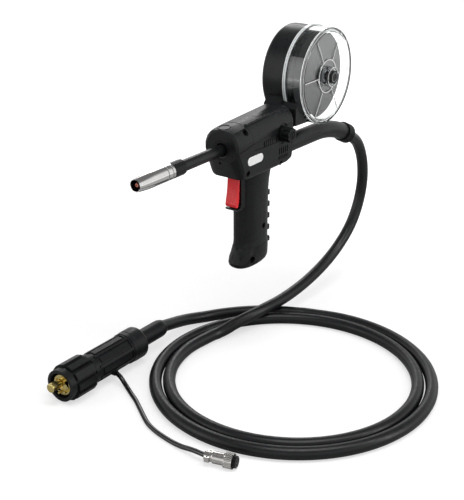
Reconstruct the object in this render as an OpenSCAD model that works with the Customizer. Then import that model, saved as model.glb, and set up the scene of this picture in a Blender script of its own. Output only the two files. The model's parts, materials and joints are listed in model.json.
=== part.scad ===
// Spool gun: a hand-held MIG torch that carries its own wire spool and feed motor, with
// its hose, central connector and control lead. Millimetres, +Z up, +X along the barrel,
// origin at the middle of the hand grip.

/* [Torch neck] */
// Height of the barrel axis above the middle of the grip
barrel_z = 97; // [96:0.5:98]
// Outer diameter of the conductor tube
tube_d = 13; // [12:0.5:13.5]
// Front end of the conductor tube
tube_end = 150; // [145:1:155]
// Outer diameter of the insulator sleeve
insulator_d = 17; // [16:0.5:18]
// Outer diameter of the nozzle
nozzle_d = 17.5; // [17:0.5:20]
// Bore of the nozzle at its mouth
nozzle_bore = 12.5; // [11:0.5:13]
// Length of the nozzle
nozzle_len = 56.6; // [50:0.2:65]
// Diameter of the welding wire
wire_d = 0.9; // [0.6:0.1:1.0]

/* [Body] */
// Width of the body
body_w = 47.6; // [46:0.2:50]
// Rear face of the body
body_rear = -54; // [-56:1:-53]
// Underside of the body
body_bottom = 59.4; // [58:0.2:60]
// Thickness of the moulded walls
wall = 2.5; // [2:0.1:2.8]

/* [Grip] */
// Width of the hand grip
grip_w = 32; // [30:0.5:36]
// Lowest point of the grip
grip_bottom = -57.5; // [-60:0.5:-56]

/* [Spool] */
// Centre of the spool along the barrel
spool_x = -118; // [-122:1:-117]
// Height of the spool axis
spool_z = 150; // [149:1:155]
// Outer radius of the black spool housing
cup_r = 58; // [57:0.2:59]
// Outer diameter of the wire spool
spool_d = 106.8; // [104:0.2:107]
// Number of ribs on the clear cover
cover_ribs = 6; // [3:1:8]

/* [Hose] */
// Outer diameter of the hose
hose_d = 15; // [14:0.1:15.2]
// Radius of the hose loop where it reaches the floor
coil_r = 140.6; // [139:0.1:142]
// How far each loop lies outside the one before it
coil_pitch = 16.2; // [16:0.1:17]
// Outer diameter of the control lead
lead_d = 5.5; // [5:0.5:6]

/* [Connector] */
// Outer diameter of the central connector's ring nut
nut_d = 44; // [43:0.2:45]
// Number of grip lobes on the ring nut
nut_lobes = 10; // [8:1:12]
// Diameter of the control plug's coupling ring
plug_d = 16.8; // [16:0.2:18]

/* [Hidden] */

$fn = 48;
fit = 0.02;        // clearance of a pressed or bolted fit
slip = 0.05;       // radial clearance of a running fit
gap = 0.35;        // free gap between a moving part and its neighbour
floor_z = -180;    // the surface that the hose and the connectors lie on

// Torch neck
tube_r = tube_d / 2;
insulator_r = insulator_d / 2;
nozzle_r = nozzle_d / 2;
nozzle_x = tube_end + 1;
tip_r = 2.6;
wire_r = wire_d / 2;

// Body sections along x: [x, half width, underside, crown, lower corner radius, crease]
half_w = body_w / 2;
front_x = 60;
body_sections = [
  [body_rear, half_w - 2.3, body_bottom + 2.4, 123.6, 9, 82.4],
  [body_rear + 2.2, half_w, body_bottom, 126.2, 9, 82],
  [-43, half_w, body_bottom, 125.8, 5, 81.2],
  [12, half_w, body_bottom, 123.1, 5, 77.4],
  [31, half_w, body_bottom, 122.2, 5, 73],
  [41, half_w, body_bottom + 0.2, 121.6, 6, 70.4],
  [47.6, half_w, 61.2, 121, 8, 72],
  [52.5, half_w, 70, 120.5, 11, 84],
  [58, half_w - 0.6, 81, 119.6, 12, 95],
  [front_x, half_w - 2.8, 84.4, 117.2, 10, 96]
];
ridge_in = 7.6;     // how far the crown's edge lies inside the side
shoulder_h = 15.5;  // height of the sloping shoulder
under_in = 0.9;     // how far the lower side lies in below its crease

// Grip sections along z: [z, rear x, front x, half width]
grip_half_w = grip_w / 2;
grip_sections = [
  [body_bottom + 4, -29.6, 25, grip_half_w + 1.6],
  [body_bottom - 4, -27.6, 25, grip_half_w + 1],
  [44, -25.2, 25, grip_half_w + 0.3],
  [30, -23.8, 25, grip_half_w],
  [-26, -23.6, 25, grip_half_w - 0.4],
  [-33, -23.6, 26, grip_half_w],
  [-40, -23.6, 29, grip_half_w + 0.5],
  [-45.5, -23.6, 33, grip_half_w + 0.6],
  [grip_bottom + 6.5, -23.4, 35, grip_half_w + 0.3],
  [grip_bottom + 3.4, -22, 34.6, grip_half_w - 1],
  [grip_bottom + 1, -19, 32, grip_half_w - 3],
  [grip_bottom, -14, 26, grip_half_w - 6]
];
pad_heights = [25, 10.2, -4.6, -19.5, -34.5];
pad_w = 18;
pad_h = 6.4;

// Feed cover: its outline in the side view, and its hinge along the crown's edge
cover_outline = [
  // [x, z, which way it grows along x, and along z]
  [30.4, 100.3, 1, -1], [30.2, 113, 1, 0], [35.4, 122.6, 1, 0], [36, 130, 1, 1],
  [-48, 134, -1, 1], [-48, 108.3, -1, -1]
];
cover_y = 13.4;
hinge_tilt = 2.6;
hinge_y = 13.1;
hinge_z = 122.2;    // height of the hinge axis at x = 0
hinge_pin_r = 0.7;
knuckle_r = 1.7;
knuckle_pitch = 11;
hinge_rear = -45;
seam_slope = 9.7;
knob_x = -30;
knob_z = 98.5;
knob_r = 8.9;
knob_pocket_r = 12;
knob_lobes = 9;

// Trigger
pivot_x = 30;
pivot_z = 63;
trigger_pin_r = 1.5;
trigger_w = 12;
pad_width = 15;
bracket_w = 17.4;

// Feed mechanism
drive_y = -10.2;
drive_r = 10;
drive_shaft_r = 3;
pressure_y = 8.7;
pressure_r = 8;
roll_pin_r = 2;
arm_x = 24;
arm_y = 15;
arm_pin_r = 2;
plate_z = 78;
plate_t = 3;
plate_top = plate_z + plate_t;

// Spool and its housing
cup_back = -29.8;
cup_front = 4.9;
cup_wall = 2.4;
cover_r = cup_r + 0.2;
lip_r = cup_r + 1.9;
cover_face = 29;
cover_wall = 2.2;
hub_r = 12;
hub_end = 37.2;
cap_r = 7.8;
spindle_r = 7.9;
spool_r = spool_d / 2;
winding_r = spool_r - 4;
spool_back = -22;
spool_face = 15;     // outer face of the front flange
spool_front = 23;    // front end of the spool's hub
boss_r = 14;
spring_front = 29.6;
brake_wire = 1.1;
brake_curls = 3;
brake_r = 7.2;

// Rear sleeve: straight run, then a bend, then the ribbed collar
sleeve_r = 11;
sleeve_z = 71;
sleeve_run = 86;
sleeve_tilt = 1;
sleeve_bend_r = 178;
sleeve_bend = 24;
collar_r = 13;
collar_len = 16;
collar_overlap = 3;
sleeve_end_angle = sleeve_tilt + sleeve_bend;
hose_start_x = body_rear - sleeve_run * cos(sleeve_tilt)
  - sleeve_bend_r * (sin(sleeve_end_angle) - sin(sleeve_tilt))
  - (collar_len - collar_overlap) * cos(sleeve_end_angle);
hose_start_z = sleeve_z - sleeve_run * sin(sleeve_tilt)
  - sleeve_bend_r * (cos(sleeve_tilt) - cos(sleeve_end_angle))
  - (collar_len - collar_overlap) * sin(sleeve_end_angle);

// Central connector, lying along x
euro_y = -102;
lobe_w = 8;
lobe_turn = 180 / nut_lobes;  // the nut stands on two of its lobes
euro_z = floor_z + nut_d / 2 * cos(lobe_turn) + lobe_w / 2 * sin(lobe_turn);
boot_x = 47;
euro_collar_x = 97;
euro_body_x = 116;
nut_x = 191;
shroud_x = 224;
shroud_front = 232.5;
block_front = 229.5;
seat_bore = 16.6;    // radius of the body under the ring nut
pin_y = euro_y - 2.6;
pin_z = euro_z + 2;
pin_r = 5.5;
pin_neck_r = 4.6;
pin_step = 236.5;    // from here to the tip's bevel the pin has its full radius
pin_front = 246;
pin_bevel = 0.8;
signal_r = 1.4;
lead_exit = [158, euro_y + 8, -168];

// Control plug, lying on the floor
plug_x = 231.5;
plug_y = 103;
plug_z = floor_z + plug_d / 2;
plug_turn = 104;
lead_r = lead_d / 2;
lead_floor = floor_z + lead_r;

// Hose loops on the floor: a flat spiral
hose_r = hose_d / 2;
hose_floor = floor_z + hose_r;
coil_x = 39;
coil_y = 84;
coil_from = -100;
coil_to = 564;
coil_zero = -95;
loop_rings = 24;
end_run = hose_d;

function coil_radius(a) = coil_r + coil_pitch * (a - coil_zero) / 360;
function coil_point(a) =
  [coil_x + coil_radius(a) * cos(a), coil_y + coil_radius(a) * sin(a), hose_floor];
function coil_heading(a) = unit(coil_point(a + 0.5) - coil_point(a - 0.5));

// Routes chosen by hand, from the gun to the connector and from the connector to the plug
drop_route = [
  [hose_start_x, 0, hose_start_z],
  [-252, 0, 29],
  [-272, -2, 0],
  [-282, -5, -34],
  [-279, -8, -68],
  [-263, -10, -97],
  [-238, -13, -120],
  [-206, -15, -136],
  [-170, -17, -147],
  [-133, -19, -153.5],
  [-98, -21, -156],
  [-70, -24, -156.5],
  [-46, -30.5, -159.5],
  [-24.4, -40, -165],
  [-12, -46.2, -169.9],
  coil_point(coil_from) - end_run * coil_heading(coil_from)
];
tail_route = [
  coil_point(coil_to) + end_run * coil_heading(coil_to),
  [-98, -25, -172.5],
  [-79, -52, -172.5],
  [-55, -75, -172.5],
  [-29, -92, -172],
  [4, -101.6, -166.6],
  [boot_x, euro_y, euro_z]
];
lead_route = [
  lead_exit + [0, 10, 0],
  [160, -75, -170.5],
  [162.6, -66.5, -175],
  [167, -57.5, lead_floor],
  [173.5, -47, lead_floor],
  [181, -34.5, lead_floor],
  [188, -24.5, lead_floor],
  [195.6, -14, lead_floor],
  [203.8, -2.6, lead_floor],
  [212, 10, lead_floor],
  [218, 24, lead_floor],
  [222, 38, lead_floor],
  [225, 53, lead_floor],
  [227.4, 68, -176.2],
  [229.2, 82, -173.6],
  [230.6, 93, -172.1],
  [plug_x, plug_y, plug_z]
];

// ---------- helpers ----------

function unit(v) = v / norm(v);
function lerp(a, b, t) = a + (b - a) * t;

// Turn things built along +Z so that they run along +X or +Y
module along_x(x, y, z) translate([x, y, z]) rotate([0, 90, 0]) children();
module along_y(x, y, z) translate([x, y, z]) rotate([-90, 0, 0]) children();

// A side view drawn as [x, z], drawn out to a width that is centred on y = 0
module across(width)
  rotate([90, 0, 0]) translate([0, 0, -width / 2]) linear_extrude(width) children();

module rod(r, h, sides = 48) cylinder(r = r, h = h, $fn = sides);
module ring(r, bore, h) {
  difference() {
    rod(r, h);
    translate([0, 0, -1]) rod(bore, h + 2);
  }
}

// Skin through a list of sections that have the same number of points. Each section's
// points run clockwise as seen from the end that the list goes towards.
module loft(sections) {
  n = len(sections[0]);
  last = (len(sections) - 1) * n;
  points = [for (s = sections) each s];
  sides = [
    for (k = [0 : len(sections) - 2], i = [0 : n - 1])
      let (a = k * n + i, b = k * n + (i + 1) % n)
      each [[a, b, a + n], [b, b + n, a + n]]
  ];
  start = [for (i = [n - 1 : -1 : 0]) i];
  end = [for (i = [0 : n - 1]) last + i];
  polyhedron(points = points, faces = concat([start], sides, [end]));
}

// A round tube swept along points; its ends face along the two given headings
function heading(p, i) = unit(p[min(i + 1, len(p) - 1)] - p[max(i - 1, 0)]);
function tube_ring(c, t, up, r, n) =
  let (u = unit(cross(up, t)), v = cross(t, u))
  [for (i = [0 : n - 1]) let (a = 360 * (i + 0.5) / n) c + r * (cos(a) * u - sin(a) * v)];
module tube_along(p, r, n, up, first, last) {
  loft([
    for (i = [0 : len(p) - 1])
      tube_ring(p[i], i == 0 ? first : (i == len(p) - 1 ? last : heading(p, i)), up, r, n)
  ]);
}

// Compression spring along +Z: one tube of wire, closed curls drawn apart evenly
function helix_point(a, r, rise) = [r * cos(a), r * sin(a), rise * a / 360];
module spring(r, wire, length, curls) {
  rise = (length - wire) / curls;
  steps = curls * 8;
  points = [for (i = [0 : steps]) helix_point(360 * i / 8, r, rise) + [0, 0, wire / 2]];
  tube_along(points, wire / 2, 6, [0, 0, 1], heading(points, 0), heading(points, steps));
}

// Length of a route, and the smallest distance between parts of it that are not neighbours
function route_length(p, i) = i == 0 ? 0 : route_length(p, i - 1) + norm(p[i] - p[i - 1]);
function least_gap(p, skip, d) =
  min([for (i = [0 : len(p) - 1 - skip]) each [
    for (j = [i + skip : len(p) - 1]) norm(p[i] - p[j])]]) - d;
coil_samples = [for (a = [coil_from : 3 : coil_to]) coil_point(a)];
echo(hose_coil_least_gap = least_gap(coil_samples, 60, hose_d));
echo(hose_length = route_length(drop_route, len(drop_route) - 1)
  + route_length(coil_samples, len(coil_samples) - 1) + 2 * end_run
  + route_length(tail_route, len(tail_route) - 1));
echo(lead_length = route_length(lead_route, len(lead_route) - 1));
brake_len = spring_front - spool_front - gap;
brake_rise = (brake_len - brake_wire) / brake_curls;
brake_samples = [for (a = [0 : 15 : 360 * brake_curls]) helix_point(a, brake_r, brake_rise)];
echo(brake_spring_least_gap = least_gap(brake_samples, 12, brake_wire));

// ---------- body and grip ----------

function arc(cx, cy, r, from, to, n) =
  [for (i = [0 : n]) let (a = lerp(from, to, i / n)) [cx + r * cos(a), cy + r * sin(a)]];

// Right side of a body section, from the underside to the crown, as [y, z]
function half_section(s, inset) =
  let (w = s[1] - inset, bottom = s[2] + inset, top = s[3] - inset,
       r = max(s[4] - inset, 1), side_top = s[3] - shoulder_h - inset * 0.6,
       edge = s[1] - ridge_in - inset * 0.6)
  concat(
    arc(w - under_in - r, bottom + r, r, -90, 0, 5),
    [[w, s[5]], [w, side_top - 1.2], [w - 0.7, side_top + 1.2], [w - 2.9, side_top + 6.8],
     [edge + 0.8, top - 3.9], [edge - 0.9, top - 2.5], [edge * 0.4, top - 0.5]]
  );
function body_ring(s, inset, x) =
  let (right = half_section(s, inset), n = len(right))
  concat(
    [for (p = right) [x, -p[0], p[1]]],
    [[x, 0, s[3] - inset]],
    [for (i = [n - 1 : -1 : 0]) [x, right[i][0], right[i][1]]]
  );
function cavity_x(x) = min(max(x, body_rear + wall), front_x - 4.2);
module body_solid(inset = 0) {
  loft([
    for (s = body_sections) if (inset == 0 || (s[0] > body_rear && s[0] < front_x - 5))
      body_ring(s, inset, inset == 0 ? s[0] : cavity_x(s[0]))
  ]);
}

function squared(a, e) = sign(a) * pow(abs(a), e);
function grip_ring(s, inset) =
  let (mid = (s[1] + s[2]) / 2, a = (s[2] - s[1]) / 2 - inset, b = s[3] - inset)
  [for (i = [0 : 23]) let (t = 15 * i)
    [mid + a * squared(cos(t), 0.78), b * squared(sin(t), 0.78), s[0]]];
module grip_solid(inset = 0) {
  depth = len(grip_sections) - 1;
  loft([
    for (i = [0 : depth]) if (inset == 0 || i < depth - 1)
      grip_ring(grip_sections[i], inset)
  ]);
}

module grip_pads() {
  for (z = pad_heights)
    translate([-26.4, -pad_w / 2, z - pad_h / 2]) cube([6, pad_w, pad_h]);
}

vent_rows = [[67.8, 4.6], [74.4, 8]];  // [height of the row, height of its slots]
module vents(side)
  for (i = [0 : 4], row = vent_rows)
    translate([-24.4 - 4.2 * i, side * half_w - 4, row[0]]) cube([2, 8, row[1]]);

// Recessed panel on the side, with a ribbed pad standing in it
panel_outline = [[30.2, 98.9], [27.1, 91.6], [-18.2, 90.8], [-17.2, 101.6], [26, 99.3]];
pad_outline = [[7.8, 97.3], [-9.7, 97.7], [-11, 91.9], [6.5, 91.9]];
side_recess = 0.9;
module side_cut(points, side, depth)
  translate([0, side * (half_w - depth) + (side < 0 ? 0 : 5), 0]) rotate([90, 0, 0])
    linear_extrude(5) polygon(points);
module side_details(side) {
  difference() {
    side_cut(panel_outline, side, side_recess);
    side_cut(pad_outline, side, side_recess + 1);
  }
  for (i = [0 : 3])
    translate([-8.6 + 4 * i, side * (half_w - side_recess) - (side < 0 ? 5 : 0), 91])
      cube([1.2, 5, 8]);
  translate([30.6, side * half_w, 100.3]) rotate([0, seam_slope, 0])
    translate([0, -side_recess, -0.4]) cube([29, 2 * side_recess, 0.8]);
}

module cover_zone(grow) {
  difference() {
    translate([0, cover_y - grow, 0]) rotate([90, 0, 0]) translate([0, 0, -30])
      linear_extrude(30) polygon([for (p = cover_outline) [p[0] + grow * p[2], p[1] + grow * p[3]]]);
    along_y(knob_x, cover_y - 20, knob_z) rod(knob_pocket_r + gap - grow, 60);
  }
}

module in_hinge_frame() translate([0, hinge_y, hinge_z]) rotate([0, hinge_tilt, 0]) children();
// Knuckles by number from the rear: the cover's are even, the body's are odd
cover_knuckles = [0, 2, 4, 6];
body_knuckles = [1, 3, 5];
knuckle_len = knuckle_pitch - gap;
module hinge_bore(r) in_hinge_frame() along_x(hinge_rear - 1, 0, 0) rod(r, 8 * knuckle_pitch);
module at_knuckles(list, back)
  in_hinge_frame()
    for (k = list) along_x(hinge_rear + k * knuckle_pitch - back, 0, 0) children();

screw_seats = [
  // [x, y of the head, z, recess radius]
  [39.5, 15, 115.6, 3.7],
  [40, 20.6, 68.3, 3.5],
  [-4.4, 12.6, -10.1, 3.5],
  [18.7, 12.8, -46.6, 4.1],
  [-28.7, 20.6, 62.6, 3]
];
screw_head_t = 1.3;
module at_seat(s) along_y(s[0], s[1], s[2]) children();

// Everything that is cut out of the two halves
module body_cutouts() {
  along_x(49.6, 0, barrel_z) rod(11.2 + fit, 4);
  along_x(53.5, 0, barrel_z) rod(10.8, 10);
  along_x(53.8, -3, 80.8) rod(1.7, 10, 24);
  along_x(body_rear - 1, 0, barrel_z) rod(2.8, 12);
  along_x(body_rear - 1, 0, sleeve_z) rod(sleeve_r + 0.2, 12);
  translate([23.6, -bracket_w / 2 - 0.1, 17]) cube([17, bracket_w + 0.2, 51]);
  translate([15, -5.2, 29.5]) cube([10, 10.4, 13]);
  in_nose() translate([0, 0, -3]) rod(7.9, 10);
  translate([31.4, -12.5, 120.6]) cube([1.3, 20, 4]);
  for (side = [-1, 1]) {
    vents(side);
    side_details(side);
  }
}

module housing_shell() {
  difference() {
    union() {
      body_solid();
      grip_solid();
      grip_pads();
    }
    body_solid(wall);
    grip_solid(wall);
    body_cutouts();
  }
}

module housing_left() color("#2e2f30") {
  difference() {
    intersection() {
      housing_shell();
      translate([-100, 0, -100]) cube([200, 50, 260]);
    }
    cover_zone(gap);
    at_knuckles(cover_knuckles, gap) rod(knuckle_r + gap, knuckle_len + 2 * gap, 24);
    hinge_bore(hinge_pin_r + fit);
    along_y(knob_x, half_w - 1.4, knob_z) rod(knob_pocket_r, 10);
    along_y(knob_x, 10, knob_z) rod(3.3, 20);
    for (s = screw_seats) at_seat(s) rod(s[3], 12, 32);
  }
  at_knuckles(body_knuckles, 0) ring(knuckle_r, hinge_pin_r + fit, knuckle_len);
}

module housing_right() color("#2e2f30") {
  intersection() {
    housing_shell();
    translate([-100, -50, -100]) cube([200, 50, 260]);
  }
}

module feed_cover() color("#343536") {
  difference() {
    intersection() {
      difference() {
        body_solid();
        body_solid(wall);
      }
      cover_zone(0);
    }
    at_knuckles(body_knuckles, gap) rod(knuckle_r + gap, knuckle_len + 2 * gap, 24);
    hinge_bore(hinge_pin_r + slip);
  }
  at_knuckles(cover_knuckles, 0) ring(knuckle_r, hinge_pin_r + slip, knuckle_len);
}

module cover_hinge_pin() color("#9a9a9a")
  in_hinge_frame() along_x(hinge_rear + 0.5, 0, 0) rod(hinge_pin_r, 7 * knuckle_pitch - 1.4, 24);

module in_nose() translate([49.8, -2.6, 119.2]) rotate([0, 8, 0]) children();
module nose_plug() color("#262728")
  in_nose() {
    translate([0, 0, -1.5]) ring(7.2, 6, 3.4);
    translate([0, 0, -1.5]) rod(6.2, 2.8);
  }

module label_plate() color("#e8e8e6")
  translate([26.8, half_w, 81.8]) rotate([-90, 0, 0]) {
    linear_extrude(0.7) {
      square([20, 10], center = true);
      for (x = [-10, 10]) translate([x, 0]) circle(5);
    }
  }

module housing_screws() color("#3c3d3e")
  for (s = screw_seats)
    at_seat(s) difference() {
      rod(s[3] - 0.4, screw_head_t, 24);
      translate([0, 0, 0.5]) rod(s[3] * 0.45, 2, 6);
    }

// ---------- trigger ----------

trigger_outline = concat(
  arc(pivot_x, pivot_z, 4.4, 80, 200, 6),
  [[27.4, 52], [29.6, 44], [31.5, 34], [33.6, 26.6], [36.6, 24.8], [38.6, 25], [39.4, 31],
   [37.6, 42], [36.6, 56]]
);
finger_outline = [
  [34.3, 56.5], [34.9, 43], [36.1, 33], [36.9, 24.6], [38.4, 23], [40.9, 23.6],
  [41.9, 27], [39.8, 36], [38.5, 43], [37.8, 50], [37.4, 56.5]
];
module trigger() color("#d8343b")
  difference() {
    union() {
      across(trigger_w) polygon(trigger_outline);
      across(pad_width) polygon(finger_outline);
    }
    along_y(pivot_x, -20, pivot_z) rod(trigger_pin_r + slip, 40);
    translate([24, -2.6, 45]) cube([5.6, 5.2, 5.2]);
  }

module trigger_pin() color("#9a9a9a")
  along_y(pivot_x, -bracket_w / 2 + 0.5, pivot_z) rod(trigger_pin_r, bracket_w - 1);

bracket_outline = [
  [23.8, 68], [23.8, 22], [30, 18.6], [38.6, 18.6], [40.6, 20.2], [40, 21.4], [34, 21.8],
  [32.8, 24], [32.6, 45], [33, 57], [33.4, 68]
];
module trigger_bracket() color("#1c1c1d")
  difference() {
    across(bracket_w) polygon(bracket_outline);
    translate([25.2, -trigger_w / 2 - 0.5, 21.8]) cube([30, trigger_w + 1, 50]);
    along_y(pivot_x, -bracket_w, pivot_z) rod(trigger_pin_r + fit, 2 * bracket_w);
    translate([20, -4.6, 30]) cube([8, 9.2, 12]);
  }

module microswitch() color("#3a3a3c") {
  translate([15.4, -4.4, 30.2]) cube([10.4, 8.8, 11.6]);
  translate([25.8, -1.5, 36]) cube([1.4, 3, 2.4]);
}

module trigger_spring() color("#b0b0b0")
  along_x(25.3, 0, 47.6) spring(2, 0.6, 4.2, 4);

// ---------- feed mechanism ----------

module gearmotor() color("#8a8c8e") {
  translate([-2, 0, -12]) rod(12.4, 66);
  translate([-2, 0, -16]) rod(4, 4);
  difference() {
    translate([-15, -19, 62.2]) cube([30, 31, plate_z - 62.2]);
    for (x = [-16, 16]) translate([x, -20, 60]) rotate([0, 0, 45]) cube([4, 4, 50], center = true);
    translate([0, drive_y, 66]) rod(drive_shaft_r + slip, 20);
  }
  translate([-2, 0, 54]) rod(9, 8.2);
}

module feed_plate() color("#b4b7b9") {
  difference() {
    translate([-42, -19.8, plate_z]) cube([84, 39.6, plate_t]);
    translate([0, drive_y, plate_z - 1]) rod(drive_shaft_r + 0.4, 6);
    translate([arm_x, arm_y, plate_z - 1]) rod(arm_pin_r + fit, 6);
    for (y = [-16, 16]) translate([-38, y, plate_z - 1]) rod(1.6, 6);
  }
  difference() {
    translate([-46, -5, plate_top]) cube([8, 10, barrel_z + 5 - plate_top]);
    along_x(-50, 0, barrel_z) rod(2.5 + fit, 20);
  }
}

module drive_shaft() color("#a8aaab") {
  translate([0, drive_y, 70]) rod(drive_shaft_r, 35);
  translate([0, drive_y, 102]) cylinder(r = 5, h = 2.6, $fn = 6);
}

module drive_roll() color("#c6c8c9")
  translate([0, drive_y, barrel_z - 5]) rotate_extrude() polygon([
    [drive_shaft_r + fit, 0], [drive_r - 0.6, 0], [drive_r, 0.6], [drive_r, 3.8],
    [drive_r - 0.8, 5], [drive_r, 6.2], [drive_r, 9.4], [drive_r - 0.6, 10],
    [drive_shaft_r + fit, 10]
  ]);

arm_outline = [
  [-36, 8], [-12, 8], [-9, 4.6], [9, 4.6], [13.5, 10.6], [22, 10.2], [27, 11], [29.6, 15],
  [28, 19], [23, 19.8], [8, 17.6], [-8, 17.6], [-12.5, 13.2], [-36, 13.2]
];
module arm_plate(z) translate([0, 0, z]) linear_extrude(2.5) polygon(arm_outline);
module pressure_arm() color("#9fa2a4")
  difference() {
    union() {
      arm_plate(barrel_z - 7);
      arm_plate(barrel_z + 4.6);
      translate([-36, 8, barrel_z - 7]) cube([23, 5.2, 14.1]);
      translate([arm_x, arm_y, barrel_z - 7]) rod(4.6, 14.1);
    }
    translate([arm_x, arm_y, barrel_z - 10]) rod(arm_pin_r + slip, 20);
    translate([0, pressure_y, barrel_z - 10]) rod(roll_pin_r + fit, 20);
  }

module pressure_roll() color("#c6c8c9")
  translate([0, pressure_y, barrel_z - 4.2]) ring(pressure_r, roll_pin_r + slip, 8.5);

module roll_pin() color("#808284")
  translate([0, pressure_y, barrel_z - 7]) rod(roll_pin_r, 14.1);

module arm_pin() color("#808284")
  translate([arm_x, arm_y, plate_z]) rod(arm_pin_r, barrel_z + 9 - plate_z);

module pressure_spring() color("#b0b0b0")
  along_y(knob_x, 13.4, knob_z) spring(3.2, 0.9, 3.9, 3);

module tension_knob() color("#1f1f20")
  difference() {
    union() {
      along_y(knob_x, 24.6, knob_z) rod(knob_r + 0.9, 2.6);
      along_y(knob_x, 25, knob_z) rod(knob_r, 11.8);
      along_y(knob_x, 17.5, knob_z) rod(2.9, 8);
    }
    for (i = [0 : knob_lobes - 1])
      along_y(knob_x, 27.8, knob_z) rotate(360 * i / knob_lobes)
        translate([knob_r + 0.7, 0, 0]) rod(2, 20, 16);
    along_y(knob_x, 36, knob_z) ring(5, 3.6, 4);
    along_y(knob_x, 36, knob_z) translate([-0.8, -3, 0]) cube([1.6, 6, 4]);
  }

module inlet_guide() color("#c9a552")
  difference() {
    union() {
      along_x(-50.5, 0, barrel_z) rod(2.5, 41);
      along_x(-50.5, 0, barrel_z) rod(3.6, 4.4);
    }
    along_x(-60, 0, barrel_z) rod(0.8, 80, 16);
  }

// ---------- torch neck ----------

module barrel_socket() color("#c9a552")
  difference() {
    union() {
      along_x(14, 0, barrel_z) rod(9.5, 36);
      along_x(49.8, 0, barrel_z) rod(11.2, 3.6);
      along_x(9.8, 0, barrel_z) cylinder(r1 = 1.8, r2 = 4.5, h = 4.3);
      translate([18, -7, plate_top]) cube([18, 14, barrel_z - plate_top]);
    }
    along_x(24, 0, barrel_z) rod(tube_r + fit, 40);
    along_x(0, 0, barrel_z) rod(0.8, 40, 16);
  }

module conductor_tube() color("#2a2a2b")
  along_x(24.2, 0, barrel_z) ring(tube_r, 3.2, tube_end - 24.2);

module wire_liner() color("#d8d8d2")
  along_x(24.4, 0, barrel_z) ring(2.2, 0.8, tube_end - 6 - 24.4);

module nozzle_insulator() color("#171718")
  difference() {
    union() {
      along_x(132, 0, barrel_z) cylinder(r = insulator_r / cos(15), h = nozzle_x - 132, $fn = 12);
      along_x(140, 0, barrel_z) rod(7.5, nozzle_x + 7 - 140);
    }
    along_x(120, 0, barrel_z) rod(tube_r + fit, 30.1);
    along_x(tube_end, 0, barrel_z) rod(5.6, 20);
  }

module gas_diffuser() color("#c08a50")
  difference() {
    union() {
      along_x(tube_end, 0, barrel_z) rod(5.5, 16);
      along_x(tube_end - 5, 0, barrel_z) rod(3.2 - fit, 6);
    }
    along_x(tube_end - 10, 0, barrel_z) rod(1.2, 40, 24);
    along_x(tube_end + 9, 0, barrel_z) rod(tip_r + fit, 20);
    for (a = [0 : 60 : 300])
      translate([tube_end + 5, 0, barrel_z]) rotate([a, 0, 0]) rod(0.9, 12, 16);
  }

module contact_tip() color("#c8763f")
  difference() {
    union() {
      along_x(tube_end + 9.2, 0, barrel_z) rod(tip_r, 8);
      along_x(tube_end + 16.2, 0, barrel_z) rod(3.6, 6);
      along_x(tube_end + 20, 0, barrel_z) rod(tip_r, 30);
      along_x(tube_end + 50, 0, barrel_z) cylinder(r1 = tip_r, r2 = 2, h = 5);
    }
    along_x(tube_end, 0, barrel_z) rod(0.6, 80, 16);
  }

nozzle_profile = concat(
  [[7.55, 0], [nozzle_r - 0.3, 0], [nozzle_r, 0.3], [nozzle_r, 3], [nozzle_r - 0.6, 3.3],
   [nozzle_r - 0.6, 4.2], [nozzle_r, 4.5], [nozzle_r, 10.2], [nozzle_r - 0.5, 10.5],
   [nozzle_r - 0.5, 11.5], [nozzle_r, 11.8], [nozzle_r, 33]],
  [for (i = [1 : 8]) let (t = i / 8)
    [nozzle_r - (nozzle_r - nozzle_bore / 2 - 0.8) * pow(t, 1.9), 33 + (nozzle_len - 33) * t]],
  [[nozzle_bore / 2, nozzle_len], [nozzle_bore / 2, nozzle_len - 12], [7.3, nozzle_len - 20],
   [7.3, 8], [7.55, 8]]
);
module nozzle() color("#cfd2d4")
  along_x(nozzle_x, 0, barrel_z) rotate_extrude($fn = 64) polygon(nozzle_profile);

// ---------- spool ----------

module at_spool(y) along_y(spool_x, y, spool_z) children();

cup_profile = concat(
  [[0, 0], [cup_r - 7, 0]],
  arc(cup_r - 7, 7, 7, -90, 0, 6),
  [[cup_r, cup_front - cup_back], [cup_r - cup_wall, cup_front - cup_back],
   [cup_r - cup_wall, 7]],
  arc(cup_r - 7, 7, 7 - cup_wall, 0, -90, 6),
  [[0, cup_wall]]
);
neck_outline = [
  [body_rear, 86], [body_rear, 123], [-61, 131], [-80, 140], [-110, 110], [-104, 94.6],
  [-80, 88]
];
lug_outline = [[-56.6, 101], [-56.6, 121], [-62, 127], [-75, 140], [-100, 120], [-94, 104],
  [-88, 100]];
lug_front = 24;
wire_pitch = 2.8;  // slope of the wire between the spool and the inlet guide
module spool_housing() color("#2b2c2d")
  difference() {
    union() {
      at_spool(cup_back) rotate_extrude($fn = 96) polygon(cup_profile);
      rotate([90, 0, 0]) translate([0, 0, -2.6]) linear_extrude(22.6) polygon(neck_outline);
      difference() {
        rotate([90, 0, 0]) translate([0, 0, -lug_front]) linear_extrude(lug_front - 2.5)
          polygon(lug_outline);
        at_spool(0) rod(lip_r + gap, 60, 96);
      }
    }
    at_spool(cup_back + 7) rod(cup_r - cup_wall, 60, 96);
    translate([body_rear + 2, 0, barrel_z]) rotate([0, 180 + wire_pitch, 0]) rotate([0, 90, 0])
      rod(2.6, 60, 24);
    along_x(body_rear - 20, 0, sleeve_z) rod(sleeve_r + 1, 30);
    for (z = [108, 118]) along_x(-62, -12, z) rod(1.6, 30, 24);
  }

module spool_spindle() color("#55585a") {
  at_spool(cup_back + cup_wall) rod(12, 2.9);
  difference() {
    union() {
      at_spool(cup_back + cup_wall) rod(spindle_r, spool_front - 0.2 - cup_back - cup_wall);
      at_spool(spool_front - 1) rod(4, 11.6);
    }
    at_spool(20) rod(2.6, 20, 24);
  }
}

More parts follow.
